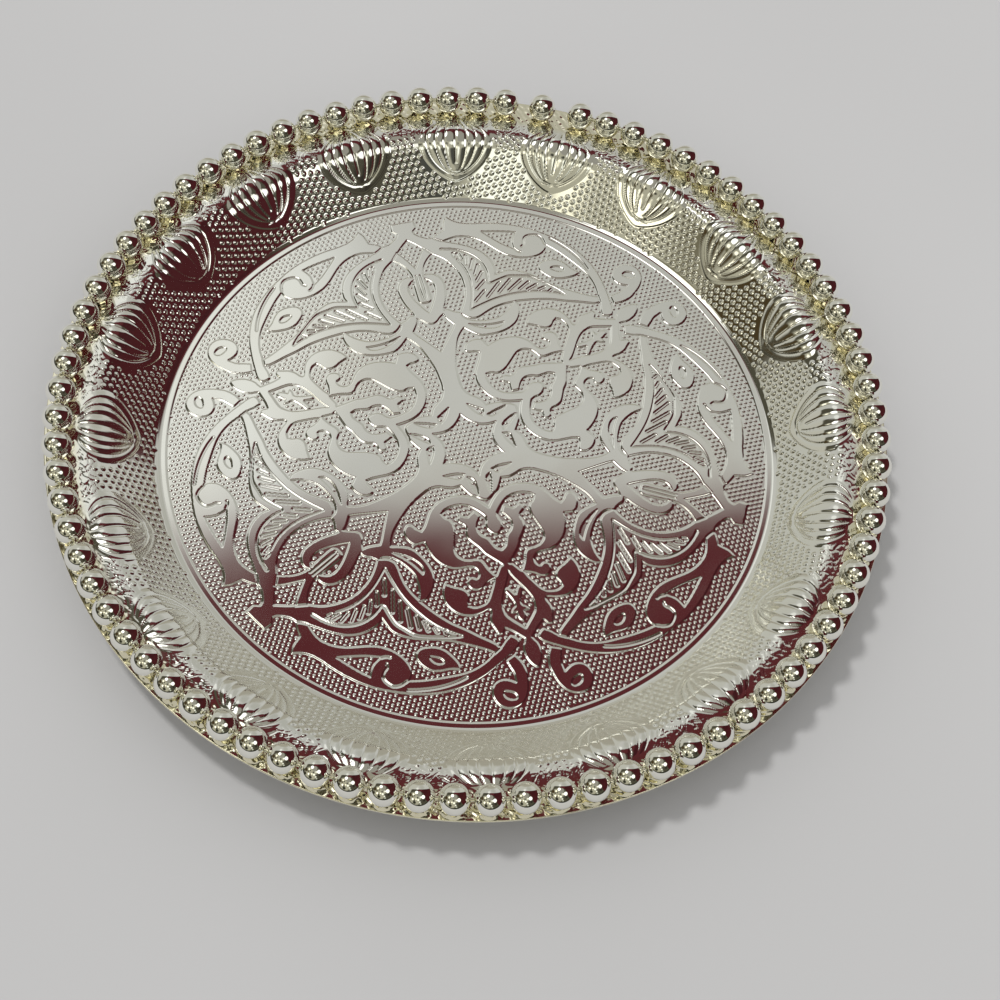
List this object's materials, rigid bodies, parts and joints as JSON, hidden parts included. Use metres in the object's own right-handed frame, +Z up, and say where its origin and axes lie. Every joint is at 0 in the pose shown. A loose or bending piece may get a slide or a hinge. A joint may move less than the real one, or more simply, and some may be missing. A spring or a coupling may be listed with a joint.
{
  "type": "offering plate",
  "caption": "Round shallow stamped metal offering plate with sloping wall, flat flange and a border of polished hollow balls on a wire.",
  "frame": {"origin": "middle of the underside of the tray floor, on the surface that the plate stands on", "axes": "+Z up out of the well; +Y towards the closing ball of the border, +X to the right of it seen from above"},
  "size_m": [0.228, 0.228, 0.022],
  "materials": {
    "tray": "polished silver plate on stamped sheet",
    "balls": "mirror polished silver plate",
    "wire": "polished silver plate",
    "solder": "plated solder, slightly dull"
  },
  "bodies": {
    "root": {"tray_body": "tray", "border_balls": "balls", "closing_ball": "balls", "border_wire": "wire", "ball_solder": "solder"}
  },
  "joints": []
}
